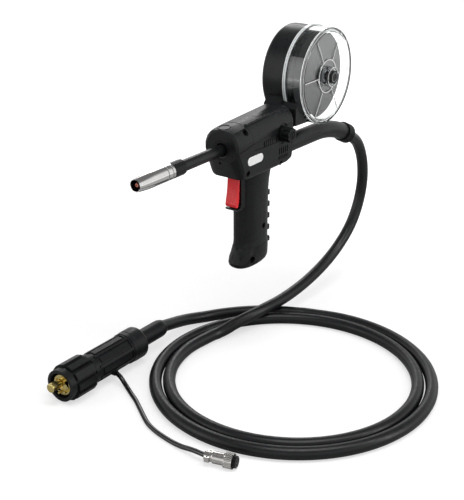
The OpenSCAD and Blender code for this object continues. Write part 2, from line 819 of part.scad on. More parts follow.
spool_w = spool_face - spool_back;
module wire_spool() color("#333437")
  at_spool(spool_back) rotate_extrude($fn = 96) polygon([
    [spindle_r + slip, 0], [spool_r - 0.6, 0], [spool_r, 0.8], [spool_r, 2], [26, 2.6],
    [25, 3.6], [25, spool_w - 3.6], [26, spool_w - 2.6], [spool_r, spool_w - 2],
    [spool_r, spool_w - 0.8], [spool_r - 0.6, spool_w], [boss_r + 1, spool_w],
    [boss_r, spool_w + 1], [boss_r, spool_front - spool_back],
    [spindle_r + slip, spool_front - spool_back]
  ]);

// Printed band round the rims of the spool
band_back = 4;
module spool_band() color("#1b1c1d")
  at_spool(band_back) ring(spool_r - 0.4, winding_r + 1.2, spool_face - 2.6 - band_back);

module wound_wire() color("#8c6f52")
  at_spool(spool_back + 3) rotate_extrude($fn = 96) polygon(concat(
    [[25.02, 0.8], [winding_r - 2.2, 0]],
    arc(winding_r - 60, spool_w / 2 - 3, 60, -13, 13, 8),
    [[winding_r - 2.2, spool_w - 6], [25.02, spool_w - 6.8]]
  ));

module brake_spring() color("#a8aaab")
  at_spool(spool_front + gap) spring(brake_r, brake_wire, brake_len, brake_curls);

module brake_nut() color("#4a4c4e")
  at_spool(spring_front + gap) difference() {
    cylinder(r = 8.4, h = 3, $fn = 6);
    translate([0, 0, -1]) rod(4 + slip, 6);
  }

module hub_cap() color("#161617") {
  at_spool(hub_end - 0.6) difference() {
    rod(cap_r, 3);
    translate([0, 0, 2.2]) rod(cap_r - 1.6, 2);
  }
  at_spool(24) rod(2.5, hub_end - 24, 24);
}

cover_profile = concat(
  [[hub_r - 1.8, cover_face - 2.2], [hub_r - 1.8, hub_end - 2.2], [2.9, hub_end - 2.2],
   [2.9, hub_end - 1], [cap_r + gap, hub_end - 1], [cap_r + gap, hub_end], [hub_r - 0.5, hub_end],
   [hub_r, hub_end - 0.5], [hub_r, cover_face + 0.8], [19.2, cover_face + 0.8],
   [20.4, cover_face + 0.8], [20.6, cover_face], [cover_r - 6, cover_face],
   [cover_r - 4.8, cover_face - 0.6], [cover_r - 3, cover_face]],
  arc(cover_r - 2.5, cover_face - 2.5, 2.5, 90, 0, 4),
  [[cover_r, 6.4], [lip_r, 6.4], [lip_r, 3], [cup_r + gap, 3], [cup_r + gap, cup_front + 0.3],
   [cover_r - cover_wall, cup_front + 0.3], [cover_r - cover_wall, cover_face - 3],
   [cover_r - 4, cover_face - cover_wall]]
);
module spool_cover() color("#dfe9ee", 0.4)
  difference() {
    union() {
      at_spool(0) rotate_extrude($fn = 96) polygon(cover_profile);
      for (i = [0 : cover_ribs - 1])
        at_spool(cover_face - 1) rotate(360 * i / cover_ribs)
          translate([20, -0.7, 0]) cube([31.6, 1.4, 1.7]);
    }
    at_spool(-10) rod(cup_r + gap, 10 + cup_front + 0.3, 96);
  }

wire_start_x = spool_x - (winding_r + wire_r) * sin(wire_pitch);
wire_start_z = spool_z - (winding_r + wire_r) * cos(wire_pitch);
module welding_wire() color("#b07a4c") {
  loft([
    tube_ring([wire_start_x, 0, wire_start_z - 0.6], [1, 0, 0], [0, 0, 1], wire_r, 8),
    tube_ring([body_rear + 2.5, 0, barrel_z], [1, 0, 0], [0, 0, 1], wire_r, 8),
    tube_ring([tube_end + 50, 0, barrel_z], [1, 0, 0], [0, 0, 1], wire_r, 8)
  ]);
}

// ---------- hose end at the gun ----------

module in_sleeve_frame() translate([body_rear, 0, sleeve_z]) rotate([0, sleeve_tilt, 180]) children();
module at_bend_end()
  translate([hose_start_x, 0, hose_start_z]) rotate([0, 90 + sleeve_end_angle, 180])
    translate([0, 0, -(collar_len - collar_overlap)]) children();

module cable_sleeve() color("#3b3c3d") {
  in_sleeve_frame() along_x(-6, 0, 0) rod(sleeve_r, sleeve_run + 6);
  in_sleeve_frame() translate([sleeve_run, 0, -sleeve_bend_r]) rotate([90, 0, 0])
    rotate([0, 0, 90 - sleeve_bend]) rotate_extrude(angle = sleeve_bend, $fn = 48)
      translate([sleeve_bend_r, 0]) circle(sleeve_r);
}

module sleeve_collar() color("#2c2d2e")
  at_bend_end() difference() {
    union() {
      translate([0, 0, -collar_overlap]) rod(collar_r - 1, collar_len);
      for (i = [0 : 5]) translate([0, 0, -collar_overlap + 2.6 * i]) rod(collar_r, 1.5);
      translate([0, 0, collar_len - collar_overlap - 0.6])
        cylinder(r1 = collar_r - 1, r2 = collar_r - 2, h = 0.6);
    }
    translate([0, 0, -2 * collar_overlap]) rod(sleeve_r + fit, 2 * collar_overlap);
  }

// ---------- hose ----------

hose_first = [-cos(sleeve_end_angle), 0, -sin(sleeve_end_angle)];
module hose_drop() color("#26272a")
  tube_along(drop_route, hose_r, 12, [0, 1, 0], hose_first, coil_heading(coil_from));

coil_steps = round((coil_to - coil_from) / 360 * loop_rings);
coil_route = concat(
  [coil_point(coil_from) - end_run * coil_heading(coil_from)],
  [for (i = [0 : coil_steps]) coil_point(lerp(coil_from, coil_to, i / coil_steps))],
  [coil_point(coil_to) + end_run * coil_heading(coil_to)]
);
module hose_coil() color("#26272a")
  tube_along(coil_route, hose_r, 6, [0, 0, 1], coil_heading(coil_from), coil_heading(coil_to));

module hose_tail() color("#26272a")
  tube_along(tail_route, hose_r, 12, [0, 0, 1], coil_heading(coil_to), [1, 0, 0]);

// ---------- central connector ----------

module on_euro(x) along_x(x, euro_y, euro_z) children();

module euro_boot() color("#3a3b3c")
  on_euro(boot_x) rotate_extrude() polygon(concat(
    [[0, 0], [8.4, 0]],
    [for (i = [0 : 6]) let (t = i / 6) [8.6 + 2.4 * sin(90 * t), 0.4 + 9 * t]],
    [[11, 44], [12, 50], [0, 50]]
  ));

module euro_collar() color("#333435")
  on_euro(euro_collar_x) rotate_extrude() polygon(concat(
    [[0, 0], [14.5, 0]],
    arc(16, 4, 4, -90, 0, 5),
    [[20, 18.4], [19.5, 19], [0, 19]]
  ));

module euro_body() color("#2b2c2d")
  difference() {
    union() {
      on_euro(euro_body_x) rod(19.6, 6.5);
      on_euro(euro_body_x + 6) rod(17.4, shroud_x - euro_body_x - 6);
      on_euro(euro_body_x + 6) rod(18.8, 3);
      on_euro(nut_x - 8) rod(18.6, 6.4);
      for (i = [0 : 7])
        on_euro(euro_body_x + 6) rotate(45 * i) {
          rotate(22.5) translate([0, -1.6, 0]) cube([19, 3.2, 60]);
          translate([0, -3.6, 6]) cube([18.5, 7.2, 49]);
        }
      on_euro(shroud_x) rod(19.5, shroud_front - shroud_x);
      translate(lead_exit) rotate([-90, 0, 0]) rod(4.4, 10);
    }
    on_euro(nut_x - 0.01) ring(30, seat_bore, shroud_x - nut_x + 0.02);
    on_euro(block_front - 5.5) rod(15.4, 20);
    on_euro(120) rod(4, 110);
  }

module euro_ring_nut() color("#2e2f30")
  on_euro(nut_x + gap) difference() {
    union() {
      rod(18, shroud_x - nut_x - 2 * gap);
      for (i = [0 : nut_lobes - 1])
        rotate((2 * i + 1) * lobe_turn) {
          translate([0, -lobe_w / 2 - 0.5, 0.6]) cube([nut_d / 2 - 0.7, lobe_w + 1, 31.1]);
          translate([0, -lobe_w / 2, 1.2]) cube([nut_d / 2, lobe_w, 29.9]);
        }
    }
    translate([0, 0, -1]) rod(seat_bore + slip, 60);
  }

module on_pin(x) along_x(x, pin_y, pin_z) children();
module euro_block() color("#c9a552") {
  difference() {
    union() {
      on_euro(block_front - 5.5) rod(12.5, 5.5);
      on_euro(130) rod(4 - fit, 95);
    }
    on_euro(block_front - 1) rotate(38) translate([-1, -12, 0]) cube([2, 24, 4]);
    on_pin(block_front - 1.5) ring(6.6, pin_neck_r, 4);
    at_signals() rod(signal_r + fit, 10, 24);
  }
  on_pin(block_front - 2) rod(pin_neck_r, pin_step - block_front + 2.5);
  on_pin(pin_step) rod(pin_r, pin_front - pin_bevel - pin_step);
  on_pin(pin_front - pin_bevel) cylinder(r1 = pin_r, r2 = pin_r - pin_bevel, h = pin_bevel);
}

module at_signals()
  for (a = [-10, 50]) on_euro(226) rotate(a) translate([9, 0, 0]) children();
module euro_signal_pins() color("#d9bd6c") at_signals() rod(signal_r, 8, 24);

// ---------- control lead and plug ----------

module control_lead() color("#161617")
  tube_along(lead_route, lead_r, 8, [0, 0, 1], [0, 1, 0],
    [cos(plug_turn), sin(plug_turn), 0]);

module on_plug(s) translate([plug_x, plug_y, plug_z]) rotate([0, 0, plug_turn])
  rotate([0, 90, 0]) translate([0, 0, s]) children();

module plug_clamp() color("#bfc2c4")
  on_plug(0) difference() {
    union() {
      cylinder(r1 = 4.4, r2 = 5.4, h = 1);
      translate([0, 0, 1]) rod(5.4, 8);
      for (y = [-5.6, 5.6]) translate([-3, y - 2, 2]) cube([6, 4, 5.4]);
    }
    for (y = [-5.8, 5.8]) translate([-10, y, 4.7]) rotate([0, 90, 0]) rod(1.1, 20, 16);
  }

module plug_shell() color("#c4c7c9") {
  on_plug(9) rod(5.8, 1);
  on_plug(10) rod(6.6, 12.4);
  on_plug(22.4) difference() {
    rod(6.2, 6);
    translate([0, 0, 2]) rod(5.4, 12);
  }
}

module plug_ring() color("#b4b7b9")
  on_plug(22.4 + gap) difference() {
    rod(plug_d / 2, 9.6);
    translate([0, 0, -1]) rod(6.2 + slip, 7);
    translate([0, 0, 5]) rod(7.2, 6);
    for (i = [0 : 23]) rotate(15 * i) translate([plug_d / 2 + 0.25, 0, 1.4]) rod(0.6, 7, 13);
  }

module plug_insert() color("#1a1a1b")
  on_plug(24.4) difference() {
    union() {
      rod(5.4 - fit, 5);
      translate([0, 0, 4.4]) rod(6.6, 7.4);
    }
    for (i = [0 : 2]) rotate(120 * i) translate([5.6, -1, 7]) cube([2, 2, 6]);
    for (i = [0 : 4]) rotate(72 * i) translate([3.4, 0, 6]) rod(0.9, 8, 16);
  }

// ---------- assembly ----------

housing_left();
housing_right();
feed_cover();
cover_hinge_pin();
nose_plug();
label_plate();
housing_screws();
barrel_socket();
conductor_tube();
wire_liner();
nozzle_insulator();
gas_diffuser();
contact_tip();
nozzle();
trigger();
trigger_pin();
trigger_spring();
trigger_bracket();
microswitch();
gearmotor();
feed_plate();
drive_shaft();
drive_roll();
pressure_arm();
pressure_roll();
roll_pin();
arm_pin();
pressure_spring();
tension_knob();
inlet_guide();
spool_housing();
spool_cover();
hub_cap();
spool_spindle();
brake_spring();
brake_nut();
wire_spool();
spool_band();
wound_wire();
welding_wire();
cable_sleeve();
sleeve_collar();
hose_drop();
hose_coil();
hose_tail();
euro_boot();
euro_collar();
euro_body();
euro_ring_nut();
euro_block();
euro_signal_pins();
control_lead();
plug_clamp();
plug_shell();
plug_ring();
plug_insert();
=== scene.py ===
"""Looks of a hand-held MIG spool gun with its hose, central connector and control lead."""
import json
import math
import bmesh
import bpy
from mathutils import Matrix, Vector


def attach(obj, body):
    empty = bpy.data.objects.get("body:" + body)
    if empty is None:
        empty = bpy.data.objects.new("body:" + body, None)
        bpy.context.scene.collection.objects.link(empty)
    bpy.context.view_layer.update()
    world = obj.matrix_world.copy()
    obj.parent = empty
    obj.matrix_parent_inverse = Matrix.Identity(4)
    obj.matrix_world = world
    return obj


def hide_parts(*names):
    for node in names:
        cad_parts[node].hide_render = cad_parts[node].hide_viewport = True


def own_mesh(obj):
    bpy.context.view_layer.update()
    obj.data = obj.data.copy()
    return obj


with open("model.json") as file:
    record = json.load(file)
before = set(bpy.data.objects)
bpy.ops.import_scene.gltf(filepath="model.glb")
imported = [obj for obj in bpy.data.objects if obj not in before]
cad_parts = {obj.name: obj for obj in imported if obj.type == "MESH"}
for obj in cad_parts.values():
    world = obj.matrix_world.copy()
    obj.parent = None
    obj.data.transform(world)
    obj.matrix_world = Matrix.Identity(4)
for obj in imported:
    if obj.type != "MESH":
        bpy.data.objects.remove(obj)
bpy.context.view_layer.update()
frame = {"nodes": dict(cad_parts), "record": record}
cad = frame["nodes"]
body_of_node = {n: b for b, ns in frame["record"]["behaviour"]["bodies"].items() for n in ns}
slot_of_node = {s["node"]: s["material_slot"] for s in frame["record"]["subparts"]}
MM = 0.001
FLOOR_Z = -180 * MM
CAD_WELD, DRAWN_WELD = 0.002 * MM, 0.001 * MM

# ---------- camera ----------

LENS = 77.4                # mm on a 36 mm frame
EYE = Vector((986.7, 678.8, 459.1)) * MM
YAW, PITCH = math.radians(-144.39), math.radians(22.8)

camera = bpy.data.objects.new("camera", bpy.data.cameras.new("camera"))
bpy.context.scene.collection.objects.link(camera)
camera.data.lens = LENS
camera.location = EYE
camera.rotation_euler = Vector((
    math.cos(YAW) * math.cos(PITCH), math.sin(YAW) * math.cos(PITCH), -math.sin(PITCH)
)).to_track_quat("-Z", "Y").to_euler()
camera.data.clip_start, camera.data.clip_end = 0.05, 20
bpy.context.scene.camera = camera

# ---------- materials ----------


def linear(hex_colour):
    """An sRGB hex colour as linear RGBA."""
    parts = [int(hex_colour[i:i + 2], 16) / 255 for i in (1, 3, 5)]
    return [c / 12.92 if c <= 0.04045 else ((c + 0.055) / 1.055) ** 2.4 for c in parts] + [1]


def per_mm(size):
    """Texture scale whose features are about size millimetres across."""
    return 1000 / size


def add(tree, kind, inputs=None, **settings):
    """Adds a node with its settings, its socket values and the links into it."""
    made = tree.nodes.new(kind)
    for name, value in settings.items():
        setattr(made, name, value)
    for name, value in (inputs or {}).items():
        if isinstance(value, bpy.types.NodeSocket):
            tree.links.new(value, made.inputs[name])
        else:
            made.inputs[name].default_value = value
    return made


def start_material(name):
    """A new material: its tree, its shader and its object coordinates."""
    material = bpy.data.materials.new(name)
    material.use_nodes = True
    tree = material.node_tree
    shader = tree.nodes["Principled BSDF"]
    place = add(tree, "ShaderNodeTexCoord").outputs["Object"]
    return material, tree, shader, place


def noise(tree, place, size, detail=2.0, roughness=0.5, stretch=None):
    """Noise with features of size millimetres, drawn out along the axes by stretch."""
    if stretch:
        place = add(tree, "ShaderNodeMapping", {"Vector": place, "Scale": stretch}).outputs[0]
    return add(tree, "ShaderNodeTexNoise", {
        "Vector": place, "Scale": per_mm(size), "Detail": detail, "Roughness": roughness
    }).outputs[0]


def spread(tree, value, low, high, from_low=0.3, from_high=0.7):
    """A value's middle range drawn onto low to high."""
    return add(tree, "ShaderNodeMapRange", {
        "Value": value, "From Min": from_low, "From Max": from_high,
        "To Min": low, "To Max": high
    }).outputs[0]


def mixed(tree, factor, a, b):
    """Colour a where factor is 0 and b where it is 1."""
    values = {"Factor": factor, 6: a, 7: b}
    return add(tree, "ShaderNodeMix", values, data_type="RGBA").outputs[2]


def moulded_plastic(name, colour, worn, roughness, grain, depth, specular):
    """Injection-moulded plastic: a sparked mould's fine grain, faint flow clouds and
    handling that polishes some areas and greys others."""
    material, tree, shader, place = start_material(name)
    clouds = noise(tree, place, 22, 3)
    rubbed = noise(tree, place, 6, 4, 0.6)
    grains = noise(tree, place, grain, 2, 0.6)
    tint = mixed(tree, spread(tree, clouds, 0, 0.7), linear(colour), linear(worn))
    tree.links.new(tint, shader.inputs["Base Color"])
    tree.links.new(spread(tree, rubbed, roughness - 0.06, roughness + 0.07),
                   shader.inputs["Roughness"])
    relief = add(tree, "ShaderNodeBump", {
        "Height": grains, "Distance": depth * MM, "Strength": 1.0})
    tree.links.new(relief.outputs[0], shader.inputs["Normal"])
    shader.inputs["Specular IOR Level"].default_value = specular
    return material


def turned_metal(name, colour, stained, roughness, pitch, depth, axis):
    """Turned or drawn metal: fine lines round the axis it was turned on, with soft staining."""
    material, tree, shader, place = start_material(name)
    stretch = [0.04, 0.04, 0.04]
    stretch[axis] = 1
    lines = noise(tree, place, pitch, 1, 0.5, stretch)
    stains = noise(tree, place, 5, 4, 0.6)
    tint = mixed(tree, spread(tree, stains, 0, 0.8), linear(colour), linear(stained))
    tree.links.new(tint, shader.inputs["Base Color"])
    tree.links.new(spread(tree, stains, roughness - 0.04, roughness + 0.08),
                   shader.inputs["Roughness"])
    relief = add(tree, "ShaderNodeBump", {
        "Height": lines, "Distance": depth * MM, "Strength": 1.0})
    tree.links.new(relief.outputs[0], shader.inputs["Normal"])
    shader.inputs["Metallic"].default_value = 1
    return material


def clear_plastic(name):
    """Clear injection-moulded polycarbonate: water-clear, with faint scuffs from handling.
    Light passes through it to what is behind, so that it casts almost no shadow."""
    material, tree, shader, place = start_material(name)
    scuffs = noise(tree, place, 4, 4, 0.6, (1, 0.15, 1))
    tree.links.new(spread(tree, scuffs, 0.01, 0.02), shader.inputs["Roughness"])
    shader.inputs["Base Color"].default_value = linear("#fbfdfd")
    shader.inputs["Transmission Weight"].default_value = 1
    shader.inputs["IOR"].default_value = 1.49
    shader.inputs["Specular IOR Level"].default_value = 0.15
    through = add(tree, "ShaderNodeBsdfTransparent", {"Color": linear("#eef1f1")})
    ray = add(tree, "ShaderNodeLightPath")
    lit = add(tree, "ShaderNodeMath", {
        0: ray.outputs["Is Shadow Ray"], 1: ray.outputs["Is Diffuse Ray"]}, operation="MAXIMUM")
    either = add(tree, "ShaderNodeMixShader", {
        0: lit.outputs[0], 1: shader.outputs[0], 2: through.outputs[0]})
    tree.links.new(either.outputs[0], tree.nodes["Material Output"].inputs["Surface"])
    return material


def painted_edge_highlight(name):
    """Painted highlight for the edges of a clear moulding: a pale, nearly opaque white that
    stands for the light those edges catch, with a faint mottle."""
    material, tree, shader, place = start_material(name)
    # A faint mottle in the white of the painted highlight
    glint_mottle = noise(tree, place, 1.5, 3, 0.6)
    tint = mixed(tree, spread(tree, glint_mottle, 0, 1), linear("#ffffff"), linear("#f6f7f7"))
    tree.links.new(tint, shader.inputs["Base Color"])
    tree.links.new(spread(tree, glint_mottle, 0.15, 0.3), shader.inputs["Roughness"])
    shader.inputs["Alpha"].default_value = 0.9
    return material


# Pale white for the clear cover's edges and ribs: a painted highlight
PAINTED_EDGE_HIGHLIGHT = painted_edge_highlight("polycarbonate_painted_highlight")
MATERIALS = {
    # Glass-filled nylon, moulded against a sparked steel: near black, dry, a soft highlight
    "black_nylon": moulded_plastic(
        "glass_filled_nylon", "#18191a", "#1f2021", 0.31, 0.5, 0.008, 0.18),
    # The same nylon, smoother and darker: caps, small fittings and the grip's foot
    "dark_nylon": moulded_plastic(
        "smooth_nylon", "#101112", "#161718", 0.27, 0.5, 0.003, 0.18),
    # Grey ABS: the spool's flanges
    "grey_plastic": moulded_plastic("grey_abs", "#1b1c1d", "#222324", 0.5, 1.5, 0.001, 0.06),
    # Red ABS, glossy where the finger rubs it
    "red_plastic": moulded_plastic("red_abs", "#ee2a31", "#f02f36", 0.3, 2.2, 0.0006, 0.35),
    # White printed vinyl, blank
    "white_label": moulded_plastic("label_vinyl", "#fafaf9", "#f4f4f2", 0.4, 0.8, 0.001, 0.4),
    "clear_cover": clear_plastic("clear_polycarbonate"),
    # White PTFE liner: waxy
    "ptfe": moulded_plastic("ptfe", "#d4d3cc", "#c8c7bf", 0.5, 0.8, 0.003, 0.4),
    # Ground steel pins, plates and screws
    "steel": turned_metal("ground_steel", "#8f9194", "#7c7e80", 0.3, 0.3, 0.002, 2),
    # Blackened steel screws
    "black_steel": turned_metal("blackened_steel", "#141415", "#0e0e0f", 0.4, 0.3, 0.002, 1),
    # Black powder coat on the neck tube: smooth with a very slight orange peel
    "black_coat": moulded_plastic(
        "black_powder_coat", "#101112", "#151617", 0.28, 1.6, 0.004, 0.3),
    # Milled aluminium
    "aluminium": turned_metal("milled_aluminium", "#a9abad", "#979a9c", 0.36, 0.4, 0.003, 0),
    # Bright nickel-chrome plating over a turned copper nozzle; its lines are finer than these
    "chrome": turned_metal("chrome_plate", "#dddcdb", "#d2d0cf", 0.08, 2.4, 0.0001, 0),
    # Satin nickel plating on the die-cast plug; its grain is finer than this
    "nickel": turned_metal("satin_nickel", "#d2cfcc", "#c3c0bd", 0.17, 2.0, 0.0002, 1),
    # Machined brass, bright where the socket rubs it
    "brass": turned_metal("machined_brass", "#dccb8c", "#cbb56c", 0.2, 0.5, 0.0004, 0),
    # Copper-chrome contact tip
    "copper": turned_metal("contact_copper", "#d58d78", "#b56f5c", 0.28, 0.3, 0.002, 0),
    # Soft sleeve and boots: thermoplastic rubber with a satin skin
    "sleeve_rubber": moulded_plastic(
        "sleeve_rubber", "#111214", "#17181a", 0.36, 0.8, 0.005, 0.2),
    # Extruded synthetic rubber hose: satin, with a light bloom
    "hose_rubber": moulded_plastic("hose_rubber", "#101113", "#161719", 0.34, 0.9, 0.01, 0.32),
    # Smooth PVC lead: glossy black
    "lead_pvc": moulded_plastic("lead_pvc", "#090a0b", "#0d0e0f", 0.15, 1.2, 0.0005, 0.75),
}

# ---------- pieces ----------


def set_finish(piece, slot):
    """Gives a piece the material of a slot."""
    piece.data.materials.clear()
    piece.data.materials.append(MATERIALS[slot])


for name, part in cad.items():
    part.data.materials.clear()
    part.data.materials.append(MATERIALS[slot_of_node[name]])


def add_piece(name, mesh, body, slot):
    """Puts a finished mesh or curve into the scene on a body."""
    piece = bpy.data.objects.new(name, mesh)
    bpy.context.scene.collection.objects.link(piece)
    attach(piece, body)
    set_finish(piece, slot)
    return piece


def shade(mesh, crease=30):
    """Smooth faces, with sharp edges where they meet at more than crease degrees."""
    mesh.polygons.foreach_set("use_smooth", [True] * len(mesh.polygons))
    mesh.set_sharp_from_angle(angle=math.radians(crease))


def keep_flat(piece):
    """Lets broad faces keep their own plane while the small rounds between them turn."""
    weigh = piece.modifiers.new("broad_faces", "WEIGHTED_NORMAL")
    weigh.weight = 80
    weigh.keep_sharp = True


def eased(node, radius, crease=32, segments=2, flat=0.6):
    """A copy of a CAD node with its edges rounded by a moulder's or fitter's small radius.
    It stands for the node."""
    mesh = cad[node].data.copy()
    work = bmesh.new()
    work.from_mesh(mesh)
    bmesh.ops.remove_doubles(work, verts=work.verts, dist=CAD_WELD)
    bmesh.ops.dissolve_limit(
        work, angle_limit=math.radians(flat), verts=work.verts, edges=work.edges)
    if radius:
        sharp = [e for e in work.edges
                 if e.is_manifold and e.calc_face_angle() > math.radians(crease)]
        bmesh.ops.bevel(
            work, geom=sharp, offset=radius * MM, offset_type="OFFSET", segments=segments,
            profile=0.5, affect="EDGES", clamp_overlap=True, material=-1,
            harden_normals=False)
    work.to_mesh(mesh)
    work.free()
    shade(mesh, crease)
    piece = add_piece(node + "_eased", mesh, body_of_node[node], slot_of_node[node])
    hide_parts(node)
    keep_flat(piece)
    return piece


# ---------- hose and lead ----------

COIL_CENTRE = Vector((39, 84)) * MM
COIL_FROM, COIL_TO, COIL_ZERO = -100, 564, -95    # degrees
COIL_R, COIL_GROWTH = 140.6, 16.2    # mm: radius at COIL_ZERO, and what a turn adds to it
COIL_STEPS_PER_TURN, ROUTE_STEPS = 24, 6
HOSE_D, LEAD_D = 15 * MM, 5.5 * MM
HOSE_SIDES, LEAD_SIDES, WIRE_SIDES = 28, 20, 12
HOSE_FLOOR = FLOOR_Z + HOSE_D / 2


def coil_point(angle):
    """Point of the flat spiral at an angle in degrees."""
    radius = (COIL_R + COIL_GROWTH * (angle - COIL_ZERO) / 360) * MM
    turn = math.radians(angle)
    return Vector((COIL_CENTRE.x + radius * math.cos(turn),
                   COIL_CENTRE.y + radius * math.sin(turn), HOSE_FLOOR))


def coil_end(angle, distance):
    """Point that far straight on from the spiral's end."""
    heading = (coil_point(angle + 0.5) - coil_point(angle - 0.5)).normalized()
    return coil_point(angle) + distance * heading


def in_metres(points):
    """Points given in millimetres, as vectors in metres."""
    return [Vector(p) * MM for p in points]


def smooth_route(points, steps, lowest):
    """Points along one smooth line through the route's points, never under lowest."""
    ends = [2 * points[0] - points[1], *points, 2 * points[-1] - points[-2]]
    line = []
    for a, b, c, d in zip(ends, ends[1:], ends[2:], ends[3:]):
        for i in range(steps):
            t = i / steps
            line.append(0.5 * (2 * b + t * (c - a) + t * t * (2 * a - 5 * b + 4 * c - d)
                               + t ** 3 * (3 * b - a - 3 * c + d)))
    line.append(points[-1])
    for point in line:
        point.z = max(point.z, lowest)
    return line


def cord_tube(name, line, diameter, sides, slot):
    """A round cord as a closed tube along a line: a drawn curve turned into a mesh."""
    curve = bpy.data.curves.new(name, "CURVE")
    curve.dimensions = "3D"
    spline = curve.splines.new("POLY")
    spline.points.add(len(line) - 1)
    for knot, point in zip(spline.points, line):
        knot.co = (*point, 1)
    curve.bevel_depth = diameter / 2
    curve.bevel_resolution = sides // 4 - 1
    curve.use_fill_caps = True
    drawn = bpy.data.objects.new(name + "_line", curve)
    bpy.context.scene.collection.objects.link(drawn)
    mesh = bpy.data.meshes.new_from_object(
        drawn.evaluated_get(bpy.context.evaluated_depsgraph_get()))
    bpy.data.objects.remove(drawn)
    bpy.data.curves.remove(curve)
    shade(mesh, 60)
    return add_piece(name, mesh, "gun", slot)


DROP_ROUTE = in_metres([
    (-223.9, 0, 47.4), (-252, 0, 29), (-272, -2, 0), (-282, -5, -34), (-279, -8, -68),
    (-263, -10, -97), (-238, -13, -120), (-206, -15, -136), (-170, -17, -147),
    (-133, -19, -153.5), (-98, -21, -156), (-70, -24, -156.5), (-46, -30.5, -159.5),
    (-24.4, -40, -165), (-12, -46.2, -169.9)])
TAIL_ROUTE = in_metres([
    (-98, -25, -172.5), (-79, -52, -172.5), (-55, -75, -172.5), (-29, -92, -172),
    (4, -101.6, -166.6), (47, -102, -157.84)])
LEAD_ROUTE = in_metres([
    (158, -84, -168), (160, -75, -170.5), (162.6, -66.5, -175), (167, -57.5, -177.25),
    (173.5, -47, -177.25), (181, -34.5, -177.25), (188, -24.5, -177.25),
    (195.6, -14, -177.25), (203.8, -2.6, -177.25), (212, 10, -177.25), (218, 24, -177.25),
    (222, 38, -177.25), (225, 53, -177.25), (227.4, 68, -176.2), (229.2, 82, -173.6),
    (230.6, 93, -172.1), (231.5, 103, -171.6)])
coil_steps = round((COIL_TO - COIL_FROM) / 360 * COIL_STEPS_PER_TURN)
coil_route = [coil_point(COIL_FROM + (COIL_TO - COIL_FROM) * i / coil_steps)
              for i in range(coil_steps + 1)]
hose_route = [
    *DROP_ROUTE, coil_end(COIL_FROM, -HOSE_D), *coil_route, coil_end(COIL_TO, HOSE_D),
    *TAIL_ROUTE]

hose_line = smooth_route(hose_route, ROUTE_STEPS, HOSE_FLOOR)
hose = cord_tube("hose", hose_line, HOSE_D, HOSE_SIDES, "hose_rubber")
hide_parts("hose_drop", "hose_coil", "hose_tail")
lead_line = smooth_route(LEAD_ROUTE, ROUTE_STEPS, FLOOR_Z + LEAD_D / 2)
lead = cord_tube("lead", lead_line, LEAD_D, LEAD_SIDES, "lead_pvc")
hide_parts("control_lead")

# ---------- parts with eased edges ----------

EASED = {
    # node: (radius of the rounds in mm, least angle in degrees that counts as an edge)
    "housing_left": (0.55, 20), "housing_right": (0.55, 20), "feed_cover": (0.45, 20),
    "nose_plug": (0.4, 32), "label_plate": (0.2, 32), "housing_screws": (0.25, 32),
    "trigger": (0.8, 26), "trigger_bracket": (0.5, 30), "spool_housing": (0.6, 32),
    "hub_cap": (0.3, 32), "tension_knob": (0.3, 32), "nozzle_insulator": (0.35, 25),
    "conductor_tube": (0.2, 32), "cable_sleeve": (0.3, 32),
    "sleeve_collar": (0.3, 32), "contact_tip": (0.2, 32), "spool_cover": (0.25, 24),
    "wire_spool": (0.4, 32), "spool_band": (0.2, 32), "euro_boot": (0.5, 32),
    "euro_collar": (0.5, 28), "euro_body": (0.4, 30), "euro_ring_nut": (0.5, 30),
    "euro_block": (0.3, 30), "euro_signal_pins": (0.3, 30), "plug_clamp": (0.3, 30),
    "plug_shell": (0.25, 30), "plug_ring": (0.2, 30), "plug_insert": (0.25, 30),
}
eased_parts = {node: eased(node, *how) for node, how in EASED.items()}

# The clear cover's front corner is polished to a small radius, so that it shows as a line
SPOOL_CENTRE = Vector((-118, 0, 150)) * MM
COVER_FACE, HUB_END, COVER_R, LIP_R = 29, 37.2, 58.2, 59.9
CORNER, POLISHED, SLACK = 2.5, 0.7, 0.02
for point in eased_parts["spool_cover"].data.vertices:
    at = (point.co - SPOOL_CENTRE) / MM
    ring = math.hypot(at.x, at.z)
    over, ahead = ring - COVER_R + CORNER, at.y - COVER_FACE + CORNER
    if over > -SLACK and ahead > -SLACK:
        new_ring = COVER_R - POLISHED + over * POLISHED / CORNER
        at.x, at.z = at.x * new_ring / ring, at.z * new_ring / ring
        at.y = COVER_FACE - POLISHED + ahead * POLISHED / CORNER
        point.co = SPOOL_CENTRE + at * MM

# The grip's foot has a smoother finish. It is drawn on copies of the halves' lower ends, which
# are scaled up a little so that they stand proud of the grip
FOOT_TOP, FOOT_SCALE = -33 * MM, 1.02


def cut_at(mesh, keep_below):
    """Keeps the part of a closed mesh that is under or over the foot's edge, closed again."""
    work = bmesh.new()
    work.from_mesh(mesh)
    cut = bmesh.ops.bisect_plane(
        work, geom=[*work.verts, *work.edges, *work.faces], plane_co=(0, 0, FOOT_TOP),
        plane_no=(0, 0, 1), clear_outer=keep_below, clear_inner=not keep_below)
    rim = [e for e in cut["geom_cut"] if isinstance(e, bmesh.types.BMEdge) and e.is_boundary]
    bmesh.ops.triangle_fill(work, use_beauty=True, edges=rim)
    bmesh.ops.recalc_face_normals(work, faces=work.faces)
    if keep_below:
        bmesh.ops.scale(work, verts=work.verts, vec=(FOOT_SCALE, FOOT_SCALE, 1))
    work.to_mesh(mesh)
    work.free()
    shade(mesh, 20)


for half in ("housing_left", "housing_right"):
    foot_mesh = eased_parts[half].data.copy()
    cut_at(eased_parts[half].data, False)
    cut_at(foot_mesh, True)
    foot = add_piece(half.replace("housing", "grip_foot"), foot_mesh, "gun", "dark_nylon")
    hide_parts(half)
    keep_flat(foot)

# ---------- edges of the clear cover ----------


